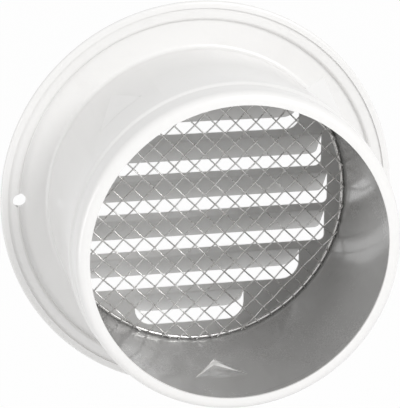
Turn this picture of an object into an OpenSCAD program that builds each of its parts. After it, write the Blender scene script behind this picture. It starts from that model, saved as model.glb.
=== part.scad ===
// Round louvred vent cover for a 100 mm duct.
// A pressed face plate with seven louvres is hemmed round the flange of a duct collar.
// The collar's tube goes into the duct, and three spring tabs cut from it grip the duct's wall.
// A wire ring in the root of the tube carries a diagonal insect screen.
//
// Millimetres, +Z up. The face looks toward -Y and the tube goes into the wall toward +Y.
// The origin is on the duct's axis, in the plane where the rim meets the wall.
// Every piece is drawn with its axis along the local z: the face is at +z, the duct at -z, up is +y.

/* [View] */
// Which piece to draw

/* [Sheet] */
// Thickness of the pressed sheet
sheet = 0.6; // [0.5:0.1:1.2]
// Centreline radius of the bends at the panel's shoulder
bend_r = 1.4; // [0.8:0.1:2]

/* [Rim and flange] */
// Outside diameter over the rolled rim
rim_od = 128; // [120:0.1:140]
// Radius of the cut edge of the hem, on the wall side
hem_edge_r = 61.75; // [60:0.05:63]
// Distance from the wall to the flat foot of the collar's flange
foot_gap = 2; // [1:0.1:5]
// Radius where the foot ends and the step toward the wall starts
foot_r = 57.6; // [55:0.1:60]
// How much farther out the face plate's step starts than the flange's
step_lag = 0.9; // [0.8:0.05:1.2]

/* [Louvred panel] */
// Height of the panel in front of the flat ring
panel_rise = 9.4; // [4:0.1:14]
// Radius at the foot of the panel's shoulder
shoulder_r = 54.2; // [52:0.1:56]
// Distance from one louvre to the next
louvre_pitch = 13.06; // [10:0.05:16]
// Height of a louvre's opening
louvre_h = 11.3; // [8:0.1:13]
// Half widths of the louvres, from the bottom one to the top one
louvre_half_w = [18.7, 37.8, 46.4, 47.1, 44.8, 37, 18.7];
// Radii of the lower corners of the louvres, from the bottom one to the top one
louvre_corner_r = [6, 6, 5, 1.8, 1.8, 4, 6];
// Height of the pattern's middle against the axis
louvre_drop = -1.8; // [-4:0.1:4]
// Sideways place of the pattern's middle against the axis
louvre_side = 1.2; // [-2:0.1:2]
// Angle by which the blades stand out of the panel, in degrees
blade_angle = 40; // [20:1:60]
// Centreline radius of the bend at the top of a blade
blade_bend_r = 1.3; // [1:0.1:3]
// Width of the cut round a blade
blade_kerf = 0.15; // [0.1:0.05:0.4]

/* [Collar] */
// Outside diameter of the tube
tube_od = 97.5; // [90:0.1:110]
// Centreline radius of the bend between the tube and its flange
root_bend_r = 1.8; // [1.2:0.1:4]
// Distance from the wall plane to the set-in band
band_start = 48.5; // [40:0.1:52]
// Outside diameter of the set-in band
band_od = 95.9; // [90:0.1:108]
// Length of the taper into the band
band_taper = 0.9; // [0.4:0.1:3]
// Distance from the wall plane to the far face of the lip
collar_reach = 58.8; // [50:0.1:70]
// Outside radius of the rounding at the lip
lip_round = 2.5; // [1.5:0.1:4]
// Diameter of the opening inside the lip
mouth_d = 88.1; // [80:0.1:96]

/* [Spring tabs] */
// Directions of the tabs, in degrees from +X toward +Z
tab_at = [50.3, 130, -89.7];
// Angle by which each tab stands out of the tube, in degrees
tab_lift = [10.5, 28, 10];
// Width of a tab at its bend
tab_w = 16.8; // [10:0.5:25]
// Length of a tab from its bend to its point
tab_len = 15.5; // [8:0.5:25]
// Distance from the wall plane to the bend of a tab
tab_bend_at = 33.3; // [25:0.5:45]
// Width of the cut along a tab's sides
tab_kerf = 0.4; // [0.2:0.1:1.5]

/* [Screw holes] */
// Diameter of the holes through flange and face plate
screw_d = 4.2; // [3:0.1:6]
// Radius of the circle that the holes lie on
screw_r = 58; // [54:0.1:60]
// Direction of the first hole, in degrees from +X toward +Z
screw_at = 2.6; // [0:0.1:90]

/* [Screen] */
// Diameter of the ring's wire
ring_wire_d = 1.2; // [0.8:0.1:2]
// Distance in front of the wall plane of the ring's centreline
ring_at = 0.5; // [0:0.1:1]
// Distance between the screen's strands
strand_pitch = 9.4; // [6:0.01:14]
// Width of a strand
strand_w = 0.55; // [0.4:0.05:1]
// Thickness of the screen
screen_t = 0.6; // [0.4:0.05:1.2]
// Place of one crossing of two strands, across and up from the axis
crossing = [-1.3, -5.2];
// Distance from the tube's wall to the screen's cut edge
screen_clear = 0.2; // [0.1:0.05:1]

/* [Hidden] */
$fn = 128;

rim_r = rim_od / 2;
tube_r = tube_od / 2;
tube_in_r = tube_r - sheet;
band_r = band_od / 2;

// heights over the wall plane, positive toward the face
flange_rim_z = sheet + sheet / 2;
plate_rim_z = flange_rim_z + sheet;
foot_z = foot_gap + sheet / 2;
ring_z = foot_z + sheet;
panel_z = ring_z + panel_rise;
step_drop = foot_z - flange_rim_z;

// the hem folds round the flange's edge
hem_mid_r = rim_r - 1.5 * sheet;
flange_edge_r = hem_mid_r - 0.1;
step_bend_r = step_drop / 2;
flange_step_end = foot_r + step_drop;
plate_step_start = foot_r + step_lag;
plate_step_end = plate_step_start + step_drop;
panel_r = shoulder_r - 2 * bend_r;

root_mid_r = tube_in_r + sheet / 2 + root_bend_r;
band_end = band_start + band_taper;
lip_mid_r = lip_round - sheet / 2;

blade_lap = 0.4;
bend_steps = 5;
blade_arc = blade_bend_r * blade_angle * PI / 180;
blade_flat = louvre_h - blade_arc - blade_kerf;

tab_half = asin(tab_w / 2 / tube_r);
tab_seat = tube_r * cos(tab_half) + 0.2;

ring_mid_r = tube_in_r - ring_wire_d / 2;
screen_r = tube_in_r - screen_clear;
screen_face = ring_at - ring_wire_d / 2;
strands = ceil(screen_r * 1.2 / strand_pitch);

steel_white = [0.93, 0.93, 0.92];
wire_grey = [0.72, 0.73, 0.74];

// a quarter of a bend in the sheet, in the quadrant that starts at a multiple of 90 degrees
module quarter_bend(rc, from) {
    intersection() {
        difference() {
            circle(rc + sheet / 2);
            circle(rc - sheet / 2);
        }
        rotate(from)
            square(2 * rc);
    }
}

// a double bend that lowers the sheet by drop while it runs outward by two radii
module joggle(rc, drop) {
    translate([0, -rc])
        quarter_bend(rc, 0);
    if (drop > 2 * rc)
        translate([rc - sheet / 2, rc - drop])
            square([sheet, drop - 2 * rc]);
    translate([2 * rc, rc - drop])
        quarter_bend(rc, 180);
}

// a straight length of sheet, flat in the flange's plane
module flat_run(from, to, z) {
    translate([from, z - sheet / 2])
        square([to - from, sheet]);
}

// a straight length of sheet along the duct's axis
module wall_run(r, from, to) {
    translate([r - sheet, from])
        square([sheet, to - from]);
}

module at_screw_holes() {
    for (a = [screw_at, screw_at + 180])
        rotate(a)
            translate([screw_r, 0])
                children();
}

// section of the face plate from its middle to the hem
module plate_section() {
    flat_run(0, panel_r, panel_z);
    translate([panel_r, panel_z])
        joggle(bend_r, panel_rise);
    flat_run(shoulder_r, plate_step_start, ring_z);
    translate([plate_step_start, ring_z])
        joggle(step_bend_r, step_drop);
    flat_run(plate_step_end, hem_mid_r, plate_rim_z);
    translate([hem_mid_r, flange_rim_z])
        for (from = [-90, 0])
            quarter_bend(sheet, from);
    flat_run(hem_edge_r, hem_mid_r, sheet / 2);
}

// outline of a louvre's opening, with its lower corners rounded
module louvre_outline(half_w, h, r) {
    intersection() {
        translate([-half_w, 0])
            square([2 * half_w, h]);
        union() {
            translate([-half_w, r])
                square([2 * half_w, h]);
            translate([r - half_w, 0])
                square([2 * (half_w - r), h]);
            for (side = [-1, 1])
                translate([side * (half_w - r), r])
                    circle(r);
        }
    }
}

// the bend at the top of a blade, from the panel round to the blade's flat, at radius r
function bend_points(r) = [
    for (i = [0:bend_steps])
        [r * cos(i * blade_angle / bend_steps), -r * sin(i * blade_angle / bend_steps)]
];

// a point on the blade's lower edge, at radius r from the bend's centre
function blade_end(r) = [
    r * cos(blade_angle) - blade_flat * sin(blade_angle),
    -r * sin(blade_angle) - blade_flat * cos(blade_angle)
];

// section of a blade: its lap into the panel, its bend and its flat
module blade_section() {
    back = blade_bend_r + sheet / 2;
    front = blade_bend_r - sheet / 2;
    polygon(concat(
        [[front, blade_lap], [back, blade_lap]],
        bend_points(back),
        [blade_end(back), blade_end(front)],
        [for (i = [bend_steps:-1:0]) bend_points(front)[i]]
    ));
}

// one blade, bent out of the panel from the top edge of its opening
module blade(half_w, r) {
    translate([0, louvre_h, panel_z + blade_bend_r])
        intersection() {
            rotate([0, 90, 0])
                linear_extrude(2 * half_w + 2, center = true)
                    blade_section();
            rotate([-blade_angle, 0, 0])
                translate([0, -blade_flat, -2 * blade_bend_r])
                    linear_extrude(4 * blade_bend_r)
                        louvre_outline(half_w, blade_flat + 2 * blade_bend_r, r);
        }
}

module at_louvre(i) {
    translate([louvre_side, louvre_drop + (i - 3) * louvre_pitch - louvre_h / 2, 0])
        children();
}

module face_plate() {
    color(steel_white)
    rotate([90, 0, 0]) {
        difference() {
            rotate_extrude()
                plate_section();
            translate([0, 0, -1])
                linear_extrude(panel_z)
                    at_screw_holes()
                        circle(d = screw_d);
            translate([0, 0, panel_z - sheet])
                linear_extrude(2 * sheet)
                    for (i = [0:6])
                        at_louvre(i)
                            louvre_outline(louvre_half_w[i], louvre_h, louvre_corner_r[i]);
        }
        for (i = [0:6])
            at_louvre(i)
                blade(louvre_half_w[i] - blade_kerf, louvre_corner_r[i]);
    }
}

// section of the collar from the flange's edge to the lip
module collar_section() {
    flat_run(flange_step_end, flange_edge_r, flange_rim_z);
    translate([foot_r, foot_z])
        joggle(step_bend_r, step_drop);
    flat_run(root_mid_r, foot_r, foot_z);
    translate([root_mid_r, foot_z - root_bend_r])
        quarter_bend(root_bend_r, 90);
    wall_run(tube_r, -band_start, foot_z - root_bend_r);
    polygon([
        [tube_r, -band_start],
        [tube_r - sheet, -band_start],
        [band_r - sheet, -band_end],
        [band_r, -band_end]
    ]);
    wall_run(band_r, lip_round - collar_reach, -band_end);
    translate([band_r - lip_round, lip_round - collar_reach])
        quarter_bend(lip_mid_r, -90);
    flat_run(mouth_d / 2, band_r - lip_round, sheet / 2 - collar_reach);
}

// triangle of a tab, from its bend at y = 0 to its point
module tab_outline(spread) {
    polygon([
        [-tab_w / 2 - spread, 0],
        [tab_w / 2 + spread, 0],
        [0, tab_len + 2 * spread]
    ]);
}

// a flat tab that stands out of the tube, hinged at its end toward the lip
module spring_tab(lift) {
    translate([0, 0, -tab_bend_at])
        rotate([0, 0, 90])
            translate([0, -tab_seat, 0])
                rotate([90 + lift, 0, 0])
                    translate([0, 0, -sheet])
                        linear_extrude(sheet) {
                            tab_outline(0);
                            translate([-tab_w / 2, -1])
                                square([tab_w, 1]);
                        }
}

// the cut in the tube round a tab
module tab_cut() {
    translate([0, 0, -tab_bend_at])
        rotate([0, 0, 90])
            rotate([90, 0, 0])
                linear_extrude(tube_r + 1)
                    tab_outline(tab_kerf);
}

module duct_collar() {
    color(steel_white)
    rotate([90, 0, 0]) {
        difference() {
            rotate_extrude()
                collar_section();
            translate([0, 0, -1])
                linear_extrude(foot_z + 2)
                    at_screw_holes()
                        circle(d = screw_d);
            for (a = tab_at)
                rotate(a)
                    tab_cut();
        }
        for (i = [0:2])
            rotate(tab_at[i])
                spring_tab(tab_lift[i]);
    }
}

module screen() {
    color(wire_grey)
    rotate([90, 0, 0])
        translate([0, 0, screen_face - screen_t])
            linear_extrude(screen_t) {
                difference() {
                    circle(screen_r);
                    circle(screen_r - strand_w);
                }
                intersection() {
                    circle(screen_r - strand_w / 2);
                    translate(crossing)
                        for (a = [45, 135])
                            rotate(a)
                                for (i = [-strands:strands])
                                    translate([-2 * screen_r, i * strand_pitch - strand_w / 2])
                                        square([4 * screen_r, strand_w]);
                }
            }
}

module screen_ring() {
    color(wire_grey)
    rotate([90, 0, 0])
        translate([0, 0, ring_at])
            rotate_extrude()
                translate([ring_mid_r, 0])
                    circle(d = ring_wire_d);
}

face_plate();
duct_collar();
screen();
screen_ring();
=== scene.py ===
import bpy
import bmesh
from math import asin, cos, pi, radians, sin, sqrt, tan
from mathutils import Matrix, Vector


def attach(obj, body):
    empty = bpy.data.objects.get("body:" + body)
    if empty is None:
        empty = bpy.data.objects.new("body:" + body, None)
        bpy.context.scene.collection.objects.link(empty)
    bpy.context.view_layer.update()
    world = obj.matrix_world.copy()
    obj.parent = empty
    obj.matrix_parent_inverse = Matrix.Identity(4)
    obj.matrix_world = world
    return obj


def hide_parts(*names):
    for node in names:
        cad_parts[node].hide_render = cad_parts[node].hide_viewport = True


# The frame
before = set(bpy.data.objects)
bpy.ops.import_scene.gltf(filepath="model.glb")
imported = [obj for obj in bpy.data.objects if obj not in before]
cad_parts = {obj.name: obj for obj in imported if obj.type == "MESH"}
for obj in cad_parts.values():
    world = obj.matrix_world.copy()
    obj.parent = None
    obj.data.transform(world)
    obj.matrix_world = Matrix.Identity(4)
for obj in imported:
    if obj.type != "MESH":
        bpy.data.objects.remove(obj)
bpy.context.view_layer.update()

# Sizes are in millimetres until a mesh is finished, and a finished mesh is in metres
MM = 0.001

# Sheet and the parts that it makes
SHEET = 0.6
EASED_EDGE = 0.09
TURNS = 192
SCREW_ANGLES = (2.6, 182.6)
SCREW_CIRCLE_R = 58.0
SCREW_HOLE_R = 2.1

# Middle of the sheet along the collar
FLANGE_EDGE_R = 63.0
STEP_R = 58.3
STEP_BEND_R = 0.7
FLANGE_Y = -0.9
FOOT_Y = -2.3
ROOT_BEND_R = 1.8
TUBE_R = 48.45
BAND_R = 47.65
BAND_START = 48.5
BAND_END = 49.4
LIP_BEND_R = 2.2
LIP_Y = 58.5
MOUTH_R = 44.05

# Spring tabs: direction, lift and how far the point leans along the tube's wall
TABS = ((50.3, 8.0, 1.5), (130.0, 26.0, -0.75), (-89.7, 10.0, -0.9))
TAB_W = 16.8
TAB_LEN = 15.5
TAB_BEND_Y = 33.3
TAB_CREASE = 0.6
TAB_EASE = 0.35
TAB_SEAT_R = TUBE_R * cos(asin(TAB_W / 2 / TUBE_R)) + 0.1

# Middle of the sheet along the face plate
HEM_EDGE_R = 61.75
HEM_R = 63.7
HEM_Y = -0.3
RIM_Y = -1.5
PLATE_STEP_R = 59.2
RING_Y = -2.9
SHOULDER_R = 52.8
SHOULDER_BEND_R = 1.4
PANEL_Y = -12.3
PANEL_R = 51.3

# Louvres, from the bottom one to the top one
LOUVRE_PITCH = 13.06
LOUVRE_H = 11.3
LOUVRE_HALF_W = (18.7, 37.8, 46.4, 47.1, 44.8, 37.0, 18.7)
LOUVRE_CORNER_R = (6, 6, 1.8, 1.8, 2.2, 4, 6)
LOUVRE_SIDE = 1.2
LOUVRE_DROP = -1.8
BLADE_ANGLE = radians(40)
BLADE_BEND_R = 1.3
BLADE_ROWS = 5

# Screen of plain weave at 45 degrees, on a ring of wire in the root of the tube
MESH_PITCH = 4.7
MESH_WIRE_R = 0.24
MESH_CRIMP = 0.25
MESH_R = 47.95
MESH_Y = 0.62
MESH_CROSSING = Vector((-1.3, -5.2))
MESH_STEPS = 6
RING_WIRE_R = 0.6
RING_MID_R = 47.55
RING_WIRE_Y = -0.5


# Shader maths
class Value:
    """What a shader node's socket gives. Operators on it add Math nodes."""

    def __init__(self, tree, socket):
        self.tree = tree
        self.socket = socket

    def node(self, kind, settings, values, output=0):
        """Adds a node of any type, sets it up, and feeds its sockets with numbers or links."""
        made = self.tree.nodes.new(kind)
        for name, setting in settings.items():
            setattr(made, name, setting)
        for name, value in values.items():
            feed(self.tree, made.inputs[name], value)
        return Value(self.tree, made.outputs[output])

    def maths(self, operation, first, second):
        return self.node("ShaderNodeMath", {"operation": operation}, {0: first, 1: second})

    def __add__(self, other):
        return self.maths("ADD", self, other)

    def __radd__(self, other):
        return self.maths("ADD", other, self)

    def __sub__(self, other):
        return self.maths("SUBTRACT", self, other)

    def __rsub__(self, other):
        return self.maths("SUBTRACT", other, self)

    def __mul__(self, other):
        return self.maths("MULTIPLY", self, other)

    def __rmul__(self, other):
        return self.maths("MULTIPLY", other, self)

    def above(self, edge, width):
        """0 well below the edge and 1 well above it."""
        return self.node("ShaderNodeMapRange", {"interpolation_type": "SMOOTHSTEP"},
                         {"Value": self, "From Min": edge - width / 2, "From Max": edge + width / 2})

    def noise(self, scale, detail, roughness):
        return self.node("ShaderNodeTexNoise", {},
                         {"Vector": self, "Scale": scale, "Detail": detail, "Roughness": roughness})

    def colours(self, first, second):
        """The first colour where this is 0 and the second where it is 1."""
        return self.node("ShaderNodeMix", {"data_type": "RGBA"}, {0: self, 6: first, 7: second}, 2)

    def bump(self, strength, distance):
        return self.node("ShaderNodeBump", {},
                         {"Height": self, "Strength": strength, "Distance": distance})


def feed(tree, socket, value):
    if isinstance(value, Value):
        tree.links.new(value.socket, socket)
    else:
        socket.default_value = value


def new_material(name):
    """A material with its tree, its shader and the place on the object."""
    material = bpy.data.materials.new(name)
    material.use_nodes = True
    tree = material.node_tree
    place = tree.nodes.new("ShaderNodeTexCoord").outputs["Object"]
    return material, tree, tree.nodes["Principled BSDF"].inputs, Value(tree, place)


def warm_grey(level, warmth):
    return (level, level * (1 - warmth * 0.4), level * (1 - warmth), 1)


# Finishes
def enamel(name, level, roughness, coat, grime):
    """Sprayed enamel with a faint orange peel, slow changes of tone and a little dust."""
    material, tree, shader, place = new_material(name)
    cloud = place.noise(38, 3, 0.5)
    orange_peel = place.noise(420, 2, 0.5)
    grit = place.noise(1900, 2, 0.6)
    dust = place.noise(150, 6, 0.7)
    paint = ((cloud - 0.35) * 1.2).colours(warm_grey(level * 0.985, 0.02), warm_grey(level, 0.012))
    dusty = (dust.above(0.62, 0.25) * grime).colours(paint, warm_grey(level * 0.8, 0.05))
    feed(tree, shader["Base Color"], dusty)
    feed(tree, shader["Roughness"], roughness + cloud * 0.08 + grit * 0.05)
    feed(tree, shader["Normal"], (orange_peel + grit * 0.25).bump(0.05, 0.0004))
    shader["Coat Weight"].default_value = coat
    shader["Coat Roughness"].default_value = 0.1
    return material


def drawn_wire(name, level, roughness):
    """Bright drawn wire with fine die marks and patches of tarnish."""
    material, tree, shader, place = new_material(name)
    die_marks = place.noise(900, 3, 0.6)
    tarnish = place.noise(60, 4, 0.6).above(0.5, 0.3)
    feed(tree, shader["Base Color"], tarnish.colours(warm_grey(level, 0.02), warm_grey(level * 0.82, 0.04)))
    feed(tree, shader["Roughness"], roughness + die_marks * 0.15)
    feed(tree, shader["Normal"], die_marks.bump(0.15, 0.0001))
    shader["Metallic"].default_value = 0.9
    return material


white_enamel = enamel("white_enamel", 0.82, 0.3, 0.5, 0.1)
# Inside of the collar: a greyer enamel, darkened further as painted shade for the inside of the tube
greyer_and_shaded_collar_inside = enamel("greyer_and_shaded_collar_inside", 0.47, 0.2, 0.6, 0.35)
panel_back = enamel("panel_back", 0.8, 0.3, 0.5, 0.35)
screen_wire = drawn_wire("screen_wire", 0.85, 0.2)
ring_wire = drawn_wire("ring_wire", 0.8, 0.2)


# Sheet work
def turned(corners):
    """Spins a line of corners (radius, place along the duct, bend radius) into a thin skin."""
    bm = bmesh.new()
    line = [bm.verts.new((radius, along, 0)) for radius, along, bend in corners]
    for first, second in zip(line, line[1:]):
        bm.edges.new((first, second))
    places = [Vector(corner[:2]) for corner in corners]
    for number in range(1, len(corners) - 1):
        turn = (places[number] - places[number - 1]).angle(places[number + 1] - places[number])
        bmesh.ops.bevel(bm, geom=[line[number]], offset=corners[number][2] * tan(turn / 2),
                        affect="VERTICES", segments=max(2, round(12 * turn / pi)),
                        profile=0.5, material=-1)
    bmesh.ops.spin(bm, geom=bm.verts[:] + bm.edges[:], cent=(0, 0, 0), axis=(0, 1, 0),
                   angle=2 * pi, steps=TURNS, use_merge=True)
    bmesh.ops.remove_doubles(bm, verts=bm.verts[:], dist=0.001)
    return bm


def parts_of(faces):
    """The faces with their edges and corners, as the bisect tool takes them."""
    edges = {edge for face in faces for edge in face.edges}
    verts = {vert for face in faces for vert in face.verts}
    return list(faces) + list(edges) + list(verts)


def cut_outline(bm, near, planes):
    """Cuts the faces that near() picks along the planes, and returns those behind all planes."""
    for place, normal in planes:
        faces = [face for face in bm.faces if near(face.calc_center_median())]
        bmesh.ops.bisect_plane(bm, geom=parts_of(faces), dist=0.0005, plane_co=place, plane_no=normal)
    return [face for face in bm.faces if near(face.calc_center_median())
            and all((face.calc_center_median() - place).dot(normal) < 0 for place, normal in planes)]


def radial(angle):
    return Vector((cos(radians(angle)), 0, sin(radians(angle))))


def tangent(angle):
    return Vector((-sin(radians(angle)), 0, cos(radians(angle))))


def drill_screw_holes(bm):
    """Round holes through the sheet at the flange, each cut with 20 sides."""
    for angle in SCREW_ANGLES:
        middle = radial(angle) * SCREW_CIRCLE_R
        sides = [radial(number * 18) for number in range(20)]
        planes = [(middle + side * SCREW_HOLE_R, side) for side in sides]
        inside = cut_outline(bm, lambda place: (place - middle).length < 7, planes)
        bmesh.ops.delete(bm, geom=inside, context="FACES")


def placed(name, mesh, materials, node):
    """Puts a finished mesh in the scene in place of a node of the frame."""
    for material in materials:
        mesh.materials.append(material)
    piece = bpy.data.objects.new(name, mesh)
    bpy.context.scene.collection.objects.link(piece)
    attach(piece, "root")
    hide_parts(node)
    return piece


def finished_mesh(name, bm):
    bmesh.ops.scale(bm, vec=(MM, MM, MM), verts=bm.verts[:])
    for face in bm.faces:
        face.smooth = True
    mesh = bpy.data.meshes.new(name)
    bm.to_mesh(mesh)
    bm.free()
    return mesh


def painted_sheet(name, bm, outside, inside, node):
    """Gives a skin the thickness of the sheet, a finish on each side, and eased edges."""
    bmesh.ops.recalc_face_normals(bm, faces=bm.faces[:])
    piece = placed(name, finished_mesh(name, bm), (outside, inside), node)
    wall = piece.modifiers.new("wall", "SOLIDIFY")
    wall.thickness = SHEET * MM
    wall.offset = 0
    wall.use_even_offset = True
    wall.material_offset = 1
    ease = piece.modifiers.new("eased_edges", "BEVEL")
    ease.width = EASED_EDGE * MM
    ease.segments = 2
    ease.limit_method = "ANGLE"
    ease.angle_limit = radians(50)
    ease.harden_normals = True


# Duct collar
def lance_tab(bm, angle, lift, lean):
    """Cuts a pointed tab in the tube on two sides and bends it outward at its end toward the lip."""
    out = radial(angle)
    side = tangent(angle)
    bend = Vector((0, TAB_BEND_Y, 0))
    point = out * TUBE_R + side * lean + bend - Vector((0, TAB_LEN, 0))
    planes = [(bend + Vector((0, TAB_EASE, 0)), Vector((0, 1, 0))), (bend, Vector((0, 1, 0)))]
    for way in (-1, 1):
        edge = out * TUBE_R + side * (way * TAB_W / 2) + bend - point
        planes.append((point, edge.cross(out).normalized() * -way))

    def near(place):
        return place.dot(out) > 43 and 10 < place.y < 40 and abs(place.dot(side)) < 13

    inside = cut_outline(bm, near, planes)
    tab = set(inside)
    free_edges = {edge for face in inside for edge in face.edges
                  if any(other not in tab for other in edge.link_faces)
                  and any(vert.co.y < TAB_BEND_Y - 0.01 for vert in edge.verts)}
    bmesh.ops.split_edges(bm, edges=list(free_edges))
    for depth in (TAB_CREASE, TAB_CREASE + TAB_EASE):
        made = bmesh.ops.bisect_plane(bm, geom=parts_of(inside), dist=0.0005,
                                      plane_co=bend - Vector((0, depth, 0)), plane_no=(0, 1, 0))
        inside = [part for part in made["geom"] if isinstance(part, bmesh.types.BMFace)]
    turn = radians(lift)
    for vert in {part for part in made["geom"] if isinstance(part, bmesh.types.BMVert)}:
        reach = TAB_BEND_Y - vert.co.y
        if reach > 0.001:
            flat = min(1, reach / TAB_CREASE)
            rise = (TAB_SEAT_R - vert.co.dot(out)) * flat + reach * sin(turn)
            vert.co += out * rise - side * (vert.co.dot(side) * 0.03 * flat)
            vert.co.y += reach * (1 - cos(turn))


def duct_collar():
    bm = turned(((FLANGE_EDGE_R, FLANGE_Y, 0), (STEP_R, FLANGE_Y, STEP_BEND_R),
                 (STEP_R, FOOT_Y, STEP_BEND_R), (TUBE_R, FOOT_Y, ROOT_BEND_R),
                 (TUBE_R, BAND_START, 1.2), (BAND_R, BAND_END, 1.2),
                 (BAND_R, LIP_Y, LIP_BEND_R), (MOUTH_R, LIP_Y, 0)))
    for angle, lift, lean in TABS:
        lance_tab(bm, angle, lift, lean)
    drill_screw_holes(bm)
    painted_sheet("collar_sheet", bm, white_enamel, greyer_and_shaded_collar_inside, "duct_collar")


# Face plate
def louvre_top(number):
    return LOUVRE_DROP + (number - 3) * LOUVRE_PITCH + LOUVRE_H / 2


def louvre_face(bm, number):
    """One louvre's opening in the plane of the panel, with its lower corners rounded."""
    half = LOUVRE_HALF_W[number]
    top = louvre_top(number)
    corners = [bm.verts.new((LOUVRE_SIDE + side * half, PANEL_Y, top - drop))
               for side, drop in ((-1, LOUVRE_H), (1, LOUVRE_H), (1, 0), (-1, 0))]
    bm.faces.new(corners)
    hinge = corners[2]
    bmesh.ops.bevel(bm, geom=corners[:2], offset=LOUVRE_CORNER_R[number], affect="VERTICES",
                    segments=6, profile=0.5, material=-1)
    return hinge.link_faces[0]


def bend_blade(bm, face, top):
    """Cuts a blade into rows at its bend and turns it out of the panel, hinged at the top."""
    arc = BLADE_BEND_R * BLADE_ANGLE
    blade = [face]
    for row in range(1, BLADE_ROWS + 1):
        made = bmesh.ops.bisect_plane(bm, geom=parts_of(blade), dist=0.0005,
                                      plane_co=(0, 0, top - arc * row / BLADE_ROWS), plane_no=(0, 0, 1))
        blade = [part for part in made["geom"] if isinstance(part, bmesh.types.BMFace)]
    for vert in {vert for part in blade for vert in part.verts}:
        reach = top - vert.co.z
        turn = min(reach, arc) / BLADE_BEND_R
        straight = max(0, reach - arc)
        vert.co.z = top - BLADE_BEND_R * sin(turn) - straight * cos(turn)
        vert.co.y = PANEL_Y - BLADE_BEND_R * (1 - cos(turn)) - straight * sin(turn)


def face_plate():
    bm = turned(((HEM_EDGE_R, HEM_Y, 0), (HEM_R, HEM_Y, 0.59), (HEM_R, RIM_Y, 0.59),
                 (PLATE_STEP_R, RIM_Y, STEP_BEND_R), (PLATE_STEP_R, RING_Y, STEP_BEND_R),
                 (SHOULDER_R, RING_Y, SHOULDER_BEND_R), (SHOULDER_R, PANEL_Y, SHOULDER_BEND_R),
                 (PANEL_R, PANEL_Y, 0)))
    drill_screw_holes(bm)
    panel_edge = [edge for edge in bm.edges if edge.is_boundary
                  and all(abs(vert.co.y - PANEL_Y) < 0.01 for vert in edge.verts)]
    blades = [louvre_face(bm, number) for number in range(len(LOUVRE_HALF_W))]
    outlines = {edge for face in blades for edge in face.edges}
    bmesh.ops.triangle_fill(bm, use_beauty=True, edges=panel_edge + list(outlines), normal=(0, 1, 0))
    for number, face in enumerate(blades):
        top = louvre_top(number)
        free_edges = [edge for edge in face.edges if any(vert.co.z < top - 0.01 for vert in edge.verts)]
        bmesh.ops.split_edges(bm, edges=free_edges)
        bend_blade(bm, face, top)
    painted_sheet("face_plate_sheet", bm, white_enamel, panel_back, "face_plate")


# Screen
def screen_wires():
    """Each wire of the weave passes over and under the ones that cross it."""
    curve = bpy.data.curves.new("wires", "CURVE")
    curve.dimensions = "3D"
    curve.bevel_depth = MESH_WIRE_R * MM
    curve.bevel_resolution = 2
    curve.use_fill_caps = True
    rising = Vector((1, 1)).normalized()
    falling = Vector((1, -1)).normalized()
    for way, (along, across) in enumerate(((rising, falling), (falling, rising))):
        for number in range(-12, 13):
            offset = MESH_CROSSING.dot(across) + number * MESH_PITCH
            if abs(offset) > MESH_R - 1.5:
                continue
            reach = sqrt(MESH_R ** 2 - offset ** 2)
            count = int(2 * reach / MESH_PITCH * MESH_STEPS)
            spline = curve.splines.new("POLY")
            spline.points.add(count)
            for index, point in enumerate(spline.points):
                place = reach * (2 * index / count - 1)
                phase = (place - MESH_CROSSING.dot(along)) / MESH_PITCH + number + way
                flat = along * place + across * offset
                point.co = (flat.x * MM, (MESH_Y + MESH_CRIMP * cos(phase * pi)) * MM, flat.y * MM, 1)
            spline.use_smooth = True
    holder = bpy.data.objects.new("wires", curve)
    bpy.context.scene.collection.objects.link(holder)
    mesh = bpy.data.meshes.new_from_object(holder.evaluated_get(bpy.context.evaluated_depsgraph_get()))
    bpy.data.objects.remove(holder)
    mesh.materials.clear()
    placed("woven_screen", mesh, (screen_wire,), "screen")


def screen_ring():
    bm = bmesh.new()
    bmesh.ops.create_circle(bm, segments=12, radius=RING_WIRE_R,
                            matrix=Matrix.Translation((RING_MID_R, RING_WIRE_Y, 0)))
    bmesh.ops.spin(bm, geom=bm.verts[:] + bm.edges[:], cent=(0, 0, 0), axis=(0, 1, 0),
                   angle=2 * pi, steps=144, use_merge=True)
    bmesh.ops.remove_doubles(bm, verts=bm.verts[:], dist=0.001)
    bmesh.ops.recalc_face_normals(bm, faces=bm.faces[:])
    placed("ring_of_wire", finished_mesh("ring_of_wire", bm), (ring_wire,), "screen_ring")


duct_collar()
face_plate()
screen_wires()
screen_ring()

# Camera, at the photo's viewing angle
VIEW_TURN = radians(168.141)
VIEW_RISE = radians(16.588)
VIEW_AIM = Vector((4.96, 22.87, 5.30)) * MM
VIEW_DISTANCE = 0.4748


def turned_to(right, up, back, place):
    return Matrix.Translation(place) @ Matrix((right, up, back)).transposed().to_4x4()


back = Vector((sin(VIEW_TURN) * cos(VIEW_RISE), -cos(VIEW_TURN) * cos(VIEW_RISE), sin(VIEW_RISE)))
right = Vector((cos(VIEW_TURN), sin(VIEW_TURN), 0))
lens = bpy.data.cameras.new("camera")
lens.sensor_fit = "HORIZONTAL"
lens.sensor_width = 36
lens.lens = 139.5
lens.clip_start = 0.01
camera = bpy.data.objects.new("camera", lens)
camera.matrix_world = turned_to(right, back.cross(right), back, VIEW_AIM + back * VIEW_DISTANCE)
bpy.context.scene.collection.objects.link(camera)
bpy.context.scene.camera = camera


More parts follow.
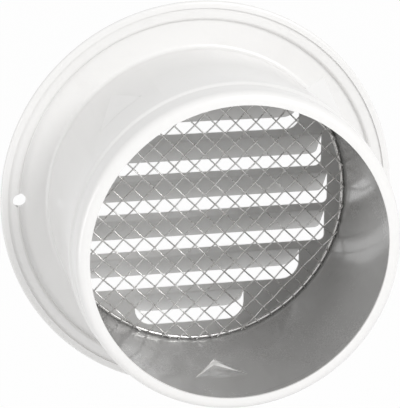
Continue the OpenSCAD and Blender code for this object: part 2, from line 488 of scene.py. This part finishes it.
# Studio
def softbox(name, place, width, height, power):
    """A rectangular lamp that looks at the object."""
    light = bpy.data.lights.new(name, "AREA")
    light.shape = "RECTANGLE"
    light.size = width
    light.size_y = height
    light.energy = power
    toward = place.normalized()
    across = Vector((0, 0, 1)).cross(toward).normalized()
    lamp = bpy.data.objects.new(name, light)
    lamp.matrix_world = turned_to(across, toward.cross(across), toward, place)
    bpy.context.scene.collection.objects.link(lamp)


def seen_directly(tree):
    """1 for rays from the camera, off gloss or through glass, and 0 for the light on the object."""
    paths = tree.nodes.new("ShaderNodeLightPath").outputs
    camera_ray = Value(tree, paths["Is Camera Ray"])
    gloss_ray = Value(tree, paths["Is Glossy Ray"])
    glass_ray = Value(tree, paths["Is Transmission Ray"])
    return camera_ray.maths("MAXIMUM", camera_ray, gloss_ray.maths("MAXIMUM", gloss_ray, glass_ray))


def studio_world():
    world = bpy.data.worlds.new("studio")
    world.use_nodes = True
    tree = world.node_tree
    walls = tree.nodes["Background"].inputs
    walls["Color"].default_value = (1, 1, 1, 1)
    feed(tree, walls["Strength"], 0.66 + seen_directly(tree) * 0.34)
    bpy.context.scene.world = world


def floor():
    """A pale floor below the wall-hung cover. It takes the object's shadow."""
    bm = bmesh.new()
    bmesh.ops.create_grid(bm, x_segments=1, y_segments=1, size=4000,
                          matrix=Matrix.Translation((0, 0, -300)))
    mesh = finished_mesh("floor", bm)
    material, tree, shader, place = new_material("pale_floor")
    feed(tree, shader["Base Color"], place.noise(2, 2, 0.5).colours((0.8, 0.8, 0.8, 1), (0.83, 0.83, 0.83, 1)))
    shader["Roughness"].default_value = 0.9
    glow = tree.nodes.new("ShaderNodeEmission")
    mixed = tree.nodes.new("ShaderNodeMixShader")
    feed(tree, mixed.inputs[0], seen_directly(tree) * 0.97)
    tree.links.new(tree.nodes["Principled BSDF"].outputs[0], mixed.inputs[1])
    tree.links.new(glow.outputs[0], mixed.inputs[2])
    tree.links.new(mixed.outputs[0], tree.nodes["Material Output"].inputs["Surface"])
    mesh.materials.append(material)
    piece = bpy.data.objects.new("floor", mesh)
    bpy.context.scene.collection.objects.link(piece)


softbox("key_light", Vector((-0.55, 1.05, 0.65)), 0.6, 0.6, 9.0)
softbox("side_strip", Vector((0.9, 0.45, -0.15)), 0.15, 0.9, 3.0)
studio_world()
floor()
bpy.context.scene.view_settings.view_transform = "Standard"
